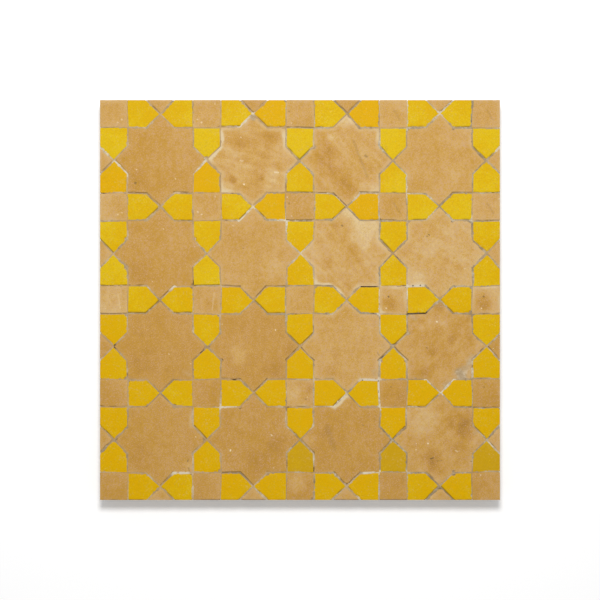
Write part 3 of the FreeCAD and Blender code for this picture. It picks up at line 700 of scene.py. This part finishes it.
def sandy_mortar(mortar):
    """The mortar, with painted shade where it lies deep in a joint."""
    material, n, shader = new_material("mortar_finish")
    values = {name: painted(n, name.lower()) for name in ("Grit", "Pale", "Dust")}
    body = n.group(mortar, Vector=on_sheet(n), **values)
    height_up = n.add("ShaderNodeSeparateXYZ", {0: on_sheet(n)}).outputs[2]
    # Painted shade: darker where the mortar lies deep in a joint, but not on the back
    deep = n.math("SUBTRACT", 1.0, n.fade(height_up, FACE_Z - 2.0 * MM, FACE_Z - 1.1 * MM))
    in_joint = n.fade(height_up, FACE_Z - 8.0 * MM, FACE_Z - 4.0 * MM)
    shaded = n.math("MULTIPLY", n.math("MULTIPLY", deep, in_joint), 0.8)
    colour = n.blend(shaded, body["Color"], MORTAR_SHADE)
    rough = n.sum(0.9, (body["Height"], 0.05))
    finish_shader(n, shader, colour, rough, body["Height"], 0.16)
    shader.inputs["Specular IOR Level"].default_value = 0.2
    return material


def seen_share(n):
    """1 for the rays from the camera."""
    return n.add("ShaderNodeLightPath").outputs["Is Camera Ray"]


def white_floor():
    """White to the eye, and it keeps the sheet's shadow."""
    material, n, shader = new_material("white_floor")
    shader.inputs["Base Color"].default_value = FLOOR_WHITE
    shader.inputs["Roughness"].default_value = 0.9
    shader.inputs["Specular IOR Level"].default_value = 0.0
    lift = n.add("ShaderNodeEmission", {"Strength": n.math("MULTIPLY", seen_share(n), FLOOR_LIFT)})
    both = n.add("ShaderNodeAddShader", {0: shader.outputs[0], 1: lift.outputs[0]})
    n.feed(material.node_tree.nodes["Material Output"].inputs[0], both.outputs[0])
    return material


def white_world():
    """An even pale sky, which the camera sees as white."""
    world = bpy.data.worlds.new("studio")
    bpy.context.scene.world = world
    world.use_nodes = True
    world.node_tree.nodes.clear()
    n = Nodes(world.node_tree)
    strength = n.math("ADD", SKY, n.math("MULTIPLY", seen_share(n), 1 - SKY))
    sky = n.add("ShaderNodeBackground", {"Color": (1, 1, 1, 1), "Strength": strength})
    n.add("ShaderNodeOutputWorld", {0: sky.outputs[0]})


def studio():
    """The floor, the light and the camera."""
    bpy.ops.object.select_all(action="DESELECT")
    bpy.ops.mesh.primitive_plane_add(size=6, location=(0, 0, 0))
    floor = bpy.context.active_object
    floor.name = "floor"
    floor.data.materials.append(white_floor())
    white_world()
    bpy.ops.object.light_add(type="AREA", location=KEY_PLACE)
    key = bpy.context.active_object
    key.name = "key_light"
    key.data.shape = "DISK"
    key.data.size = KEY_SIZE
    key.data.energy = KEY_POWER
    key.rotation_euler = (-KEY_PLACE).to_track_quat("-Z", "Y").to_euler()
    distance = PICTURE_WIDTH * LENS / SENSOR
    bpy.ops.object.camera_add(location=(0, 0, FACE_Z + distance), rotation=(0, 0, 0))
    camera = bpy.context.active_object
    camera.data.lens = LENS
    camera.data.sensor_width = SENSOR
    camera.data.clip_end = 20
    bpy.context.scene.camera = camera
    bpy.context.scene.view_settings.view_transform = "Standard"


def take_copy(node):
    """A piece of its own in the node's place, merged from loose triangles into whole faces."""
    bpy.ops.object.select_all(action="DESELECT")
    source = frame["nodes"][node]
    source.select_set(True)
    bpy.context.view_layer.objects.active = source
    bpy.ops.object.duplicate()
    piece = bpy.context.active_object
    piece.name = node + "_finish"
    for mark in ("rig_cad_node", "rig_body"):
        if mark in piece:
            del piece[mark]
    piece.data.materials.clear()
    bpy.ops.mesh.customdata_custom_splitnormals_clear()
    bpy.ops.object.mode_set(mode="EDIT")
    bpy.ops.mesh.select_all(action="SELECT")
    bpy.ops.mesh.remove_doubles(threshold=MERGE)
    bpy.ops.mesh.dissolve_limited(angle_limit=math.radians(0.5))
    bpy.ops.object.mode_set(mode="OBJECT")
    return piece


def ring_faces(piece, steps):
    """Puts rings along the edges of the tiles' faces, for what happens at the edge."""
    bpy.ops.object.mode_set(mode="EDIT")
    bpy.ops.mesh.select_mode(type="FACE")
    bpy.ops.mesh.select_all(action="DESELECT")
    bpy.ops.object.mode_set(mode="OBJECT")
    for face in piece.data.polygons:
        face.select = face.normal.z > 0.99
    bpy.ops.object.mode_set(mode="EDIT")
    for step in steps:
        bpy.ops.mesh.inset(thickness=step, use_individual=True)
    bpy.ops.object.mode_set(mode="OBJECT")


def cut_by_grid(piece, spacing, wanted):
    """Cuts the wanted faces by planes along X and Y, so that they can be shaped."""
    for face in piece.data.polygons:
        face.hide = not wanted(face)
    shown = [piece.data.vertices[i].co for f in piece.data.polygons if not f.hide for i in f.vertices]
    bpy.ops.object.mode_set(mode="EDIT")
    for axis in (0, 1):
        normal = [float(axis == k) for k in range(3)]
        lowest = min(co[axis] for co in shown)
        highest = max(co[axis] for co in shown)
        for step in range(math.ceil(lowest / spacing), math.ceil(highest / spacing)):
            bpy.ops.mesh.select_all(action="SELECT")
            bpy.ops.mesh.bisect(plane_co=[n * step * spacing for n in normal], plane_no=normal)
    bpy.ops.mesh.reveal(select=False)
    bpy.ops.object.mode_set(mode="OBJECT")


def soft_step(value, start, end):
    share = max(0.0, min(1.0, (value - start) / (end - start)))
    return share * share * (3 - 2 * share)


def hand_drift(place):
    """How far the hand has moved the pattern here. It leaves the sheet's straight sides alone."""
    sway = noise.noise_vector(Vector((place.x, place.y, 0.04)) / (21 * MM)) * SWAY * MM
    ease = [soft_step((HALF_SIDE - abs(c)) / MM, 0, 9) for c in place.xy]
    return Vector((sway.x * ease[0], sway.y * ease[1], 0))


def edge_distance(point, outline):
    """How far a point lies from an outline, in millimetres."""
    nearest = RIM_REACH * MM
    for start, end in outline:
        along = end - start
        share = max(0.0, min(1.0, (point - start).dot(along) / along.length_squared))
        nearest = min(nearest, (point - start - along * share).length)
    return nearest / MM


class Tile:
    """One tile in a piece: where it lies, and what the hand, the saw and the kiln did to it."""

    def __init__(self, corners, top, name, finish, lot):
        self.outline = list(zip(corners, corners[1:] + corners[:1]))
        self.normals = [Vector((b.y - a.y, a.x - b.x)).normalized() for a, b in self.outline]
        self.middle = sum(corners, Vector((0, 0))) / len(corners)
        self.top = top
        self.finish = finish
        self.marks = MARKS.get(name, {})
        self.lot = lot.random()
        self.shift = Vector((lot.uniform(-9, 9), lot.uniform(-9, 9), lot.uniform(-9, 9)))
        self.tilt = Vector((lot.uniform(-1, 1), lot.uniform(-1, 1))) * finish["tilt"]
        self.fall = Vector((lot.uniform(-1, 1), lot.uniform(-1, 1))) * finish["fall"]
        self.blunt = [(c, lot.uniform(1.0, 2.4)) for c in corners if lot.random() < finish["blunt"]]
        # Painted shade along the edges, darkest on the lower edges, which face away from the lamp.
        self.grime = [lot.random() * (1.0 if n.y < -0.3 else 0.45) for n in self.normals]

    def noise_at(self, co, size):
        """Noise from -1 to 1 with features about this size in millimetres."""
        return noise.noise(co / (size * MM) + self.shift)

    def marked(self, kind, co):
        """What this tile's marks of one kind add up to at a point."""
        total = 0.0
        for x, y, reach, amount in self.marks.get(kind, ()):
            apart = (co.xy - self.middle - Vector((x, y)) * MM).length / MM
            apart += 0.45 * reach * self.noise_at(co, 6)
            total += amount * (1 - soft_step(apart, 0.15 * reach, 1.1 * reach))
        return total

    def streaks(self, co):
        """Streaks in the clay's tone, which run at an angle to the X axis, in degrees."""
        angle, amount = self.marks.get("streaks", (0, 0))
        along = Vector((math.cos(math.radians(angle)), math.sin(math.radians(angle))))
        place = Vector((co.xy.dot(along) / (15 * MM), co.xy.cross(along) / (2.8 * MM), 0))
        return amount * noise.noise(place + self.shift)

    def edges_near(self, point, reach):
        """The numbers of the outline's edges within this reach, in millimetres."""
        return [i for i, edge in enumerate(self.outline) if edge_distance(point, [edge]) < reach]

    def spread(self, point):
        """The step from the face's outline out over the arris, square to both edges at a corner."""
        normals = [self.normals[i] for i in self.edges_near(point, 0.02)]
        if len(normals) == 2:
            return (normals[0] + normals[1]) / (1 + normals[0].dot(normals[1])) * SPREAD
        return normals[0] * SPREAD if normals else Vector((0, 0))

    def shape(self, co):
        """Where a point of the true form goes in the hand-made one, and what is painted there."""
        place = co + hand_drift(co)
        on_face = co.z > self.top - ALMOST
        rim = edge_distance(co.xy, self.outline) if on_face else -0.6
        film = self.marked("film", co)
        sawn = max(abs(co.x), abs(co.y)) > HALF_SIDE - 0.5 * MM
        # Painted shade along the edges near the face, darkest on the lower edges
        grime = 0.0
        if co.z > self.top - WORKED and rim < 0.4:
            near = self.edges_near(co.xy, 0.45)
            grime = max((self.grime[i] for i in near), default=0.0)
            grime = soft_step(grime + 0.4 * self.noise_at(co, 5), 0.45, 0.95) * (0.7 if rim > 0.1 else 1.0)
        if not sawn:
            wave = noise.noise_vector(co / (8 * MM) + self.shift) * WAVE * MM
            wave += noise.noise_vector(co / (2.4 * MM) + self.shift) * TREMOR * MM
            if on_face and rim < 0.02:
                wave += self.spread(co.xy).to_3d()
            place += Vector((wave.x, wave.y, 0))
        if co.z > self.top - WORKED:
            relief = 0.08 * self.noise_at(co, 26) + 0.05 * self.noise_at(co, 7) - 0.16
            relief -= 0.08 * (1 - soft_step(rim, 0.0, 1.6))
            nick = soft_step(self.noise_at(co, 2.6), 0.30, 0.6) * (1 - soft_step(rim, 0.1, 0.8))
            for corner, reach in self.blunt:
                near = 1 - soft_step((co.xy - corner).length / MM, 0.3 * reach, reach)
                relief -= 0.5 * near
                film += 0.9 * near
                if not sawn:
                    inward = (self.middle - corner).normalized() * 0.3 * MM * near
                    place += Vector((inward.x, inward.y, 0))
            relief -= 0.45 * nick + 0.35 * soft_step(film, 0.4, 0.9)
            place.z += relief * MM + (co.xy - self.middle).dot(self.tilt)
            rim -= nick * 0.7
        place.z = min(place.z, FACE_Z)
        fall = (co.xy - self.middle).dot(self.fall) / MM
        values = {
            "tone": self.finish["tone"] + self.marked("tone", co) + fall + self.streaks(co),
            "haze": self.finish["haze"] + self.marked("haze", co),
            "mottle": self.finish["mottle"],
            "film": film,
            # the painted shade along the edges
            "grime": grime * 0.8,
            "rim": rim,
            "lot": self.lot,
        }
        return place, values


def paint(mesh, rows):
    """Stores painted values, one row for each vertex."""
    for key in rows[0]:
        column = [row[key] for row in rows]
        mesh.attributes.new(key, "FLOAT", "POINT").data.foreach_set("value", column)


def paint_strokes(mesh, tile):
    """Stores a tile's strokes, each as two vectors that are the same all over the tile."""
    for number, (x1, y1, x2, y2, width, amount) in enumerate(tile.marks.get("strokes", ())):
        start = (tile.middle.x + x1 * MM, tile.middle.y + y1 * MM, width * MM)
        end = (tile.middle.x + x2 * MM, tile.middle.y + y2 * MM, amount)
        for part, value in (("from", start), ("to", end)):
            store = mesh.attributes.new(f"stroke_{part}_{number}", "FLOAT_VECTOR", "POINT")
            store.data.foreach_set("vector", value * len(mesh.vertices))


def smooth(piece, angle):
    bpy.ops.object.select_all(action="DESELECT")
    piece.select_set(True)
    bpy.context.view_layer.objects.active = piece
    bpy.ops.object.shade_smooth_by_angle(angle=math.radians(angle))


def shape_tiles(piece, finish_for, grid, blunt, tilt):
    """Cuts up, shapes and paints all the tiles of a piece.

    Each tile's lot is drawn before the piece is cut up, while a tile's face is still one polygon.
    """
    mesh = piece.data
    name = piece.name.removesuffix("_finish")
    lot = random.Random(name)
    tiles = []
    for face in mesh.polygons:
        if face.normal.z > 0.99:
            corners = [mesh.vertices[i].co.xy.copy() for i in face.vertices]
            finish = dict(finish_for(face.center / MM, lot), blunt=blunt, tilt=tilt)
            tiles.append(Tile(corners, face.center.z, name, finish, lot))
    ring_faces(piece, RINGS)
    cut_by_grid(piece, grid, lambda face: face.normal.z > 0.5)
    rows = []
    for vertex in mesh.vertices:
        tile = min(tiles, key=lambda t: (vertex.co.xy - t.middle).length_squared)
        vertex.co, values = tile.shape(vertex.co.copy())
        rows.append(values)
    paint(mesh, rows)
    paint_strokes(mesh, tiles[0])
    smooth(piece, 28)


def hand_over(piece, node, material):
    """Gives a finished piece its material and the place of its CAD node."""
    piece.data.materials.append(material)
    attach(piece, "root")
    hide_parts(node)


def arrow_finish(middle, lot):
    """The glaze of one arrow, deeper or paler than the next, and often deeper at one end."""
    # The tone rises towards the top of the sheet, so the arrows are deeper lower down.
    tone = min(0.47, max(0.26, 0.38 + 0.0018 * middle.y)) + lot.uniform(-0.07, 0.07)
    for x, y, named in ARROW_TONES:
        if math.hypot(middle.x - x, middle.y - y) < NAMED_REACH:
            tone = named
    return {"tone": tone, "mottle": 0.2, "haze": 0.0, "fall": ARROW_FALL}


def star_finish(middle, lot):
    """The finish of the star in this row and column."""
    row = round(1.5 - middle.y * MM / PITCH)
    column = round(1.5 + middle.x * MM / PITCH)
    return dict(FINISHES[STAR_FINISHES[row][column]], fall=0.0)


def square_finish(middle, lot):
    """The finish of the square in this row and column, a little paler or darker."""
    row = round(2 - middle.y * MM / PITCH)
    column = round(2 + middle.x * MM / PITCH)
    finish = FINISHES[SQUARE_FINISHES[row][column]]
    return dict(finish, tone=finish["tone"] + lot.uniform(-0.03, 0.05), fall=SMALL_FALL)


def triangle_finish(middle, lot):
    """A border triangle's finish, which is drawn by lot."""
    finish = FINISHES[lot.choice(("honey", "fair", "fair"))]
    return dict(finish, tone=finish["tone"] + lot.uniform(-0.04, 0.04), fall=SMALL_FALL)


def lay_tiles(clay, glaze):
    """Puts a finished piece in the place of every node of tiles."""
    for node in frame["nodes"]:
        if node == "mortar_bed":
            continue
        piece = take_copy(node)
        if node.startswith("star_tile"):
            shape_tiles(piece, star_finish, STAR_GRID, STAR_BLUNT, STAR_TILT)
            hand_over(piece, node, clay)
        elif node.startswith("arrow_tiles"):
            shape_tiles(piece, arrow_finish, SMALL_GRID, SMALL_BLUNT, ARROW_TILT)
            hand_over(piece, node, glaze)
        elif node.startswith("square_tile"):
            shape_tiles(piece, square_finish, SMALL_GRID, SMALL_BLUNT, SMALL_TILT)
            hand_over(piece, node, clay)
        else:
            shape_tiles(piece, triangle_finish, SMALL_GRID, SMALL_BLUNT, SMALL_TILT)
            hand_over(piece, node, clay)


def near_any(stretches, co):
    """1 on one of these stretches, and 0 away from them all."""
    share = 0.0
    x, y = co.x / MM, co.y / MM
    for x1, y1, x2, y2, reach in stretches:
        beside = min(x1, x2) - reach < x < max(x1, x2) + reach
        if beside and min(y1, y2) - reach < y < max(y1, y2) + reach:
            along = Vector((x2 - x1, y2 - y1))
            across = Vector((x, y)) - Vector((x1, y1))
            place = max(0.0, min(1.0, across.dot(along) / along.length_squared))
            share = max(share, 1 - soft_step((across - along * place).length, 0.6 * reach, reach))
    return share


def push_walls_under_tiles(piece, depth):
    """Moves the walls of the tiles' beds outwards, so that no gap opens beside a tile."""
    bpy.ops.object.mode_set(mode="EDIT")
    bpy.ops.mesh.select_mode(type="FACE")
    bpy.ops.mesh.select_all(action="DESELECT")
    bpy.ops.object.mode_set(mode="OBJECT")
    for face in piece.data.polygons:
        outer = max(abs(face.center.x), abs(face.center.y)) > HALF_SIDE - ALMOST
        face.select = abs(face.normal.z) < 0.5 and not outer
    bpy.ops.object.mode_set(mode="EDIT")
    bpy.ops.transform.shrink_fatten(value=depth)
    bpy.ops.object.mode_set(mode="OBJECT")


def fill_joints(material):
    """The mortar: uneven in its joints, which run a little under the tiles' edges."""
    piece = take_copy("mortar_bed")
    mesh = piece.data
    top_from = max(v.co.z for v in mesh.vertices) - 0.1 * MM
    push_walls_under_tiles(piece, TUCK)
    cut_by_grid(piece, JOINT_GRID, lambda face: face.normal.z > 0.9 and face.center.z > top_from)
    cut_by_grid(piece, BACK_GRID, lambda face: face.center.z < 0.1 * MM)
    rows = []
    for vertex in mesh.vertices:
        co = vertex.co.copy()
        top = co.z > top_from
        grit = near_any(GRIT, co) if top else 0.0
        side = max(abs(co.x), abs(co.y)) > HALF_SIDE - 0.3 * MM
        place = co.copy()
        if co.z > 5 * MM:
            place += hand_drift(co)
        if top:
            level = 0.30 * noise.noise(co / (9 * MM)) + 0.20 * noise.noise(co / (1.6 * MM))
            gap = soft_step(noise.noise(co / (6 * MM) + Vector((5, 3, 1))), 0.5, 0.7)
            gap = max(gap, near_any(GAPS, co))
            place.z += (JOINT_RISE + level + 0.25 * grit - GAP_DEPTH * gap) * MM
        if co.z < 0.1 * MM and not side:
            place.z += BACK_WAVE * (1 + noise.noise(co / (18 * MM)))
        if side:
            inset = SIDE_WAVE * (1 + noise.noise(co / (5 * MM)))
            place.x = math.copysign(min(abs(place.x), HALF_SIDE - inset), place.x)
            place.y = math.copysign(min(abs(place.y), HALF_SIDE - inset), place.y)
        vertex.co = place
        pale = near_any(PALE, co) * (0.75 + 0.9 * noise.noise(co / (3 * MM))) if top else 0.0
        # Clay dust has worked into the joints, more on the left.
        dust = 0.5 - 0.3 * soft_step(co.x / MM, -60, 60) + 0.5 * noise.noise(co / (12 * MM))
        rows.append({"grit": grit, "pale": pale, "dust": max(0.0, dust * (1 - pale)) if top else 0.0})
    paint(mesh, rows)
    smooth(piece, 35)
    hand_over(piece, "mortar_bed", material)


studio()
speck_nodes = specks_group()
mortar_nodes = mortar_group(speck_nodes)
clay_nodes = clay_group(speck_nodes, mortar_nodes)
lay_tiles(natural_clay(clay_nodes, stroke_group()), yellow_glaze(clay_nodes, speck_nodes))
fill_joints(sandy_mortar(mortar_nodes))
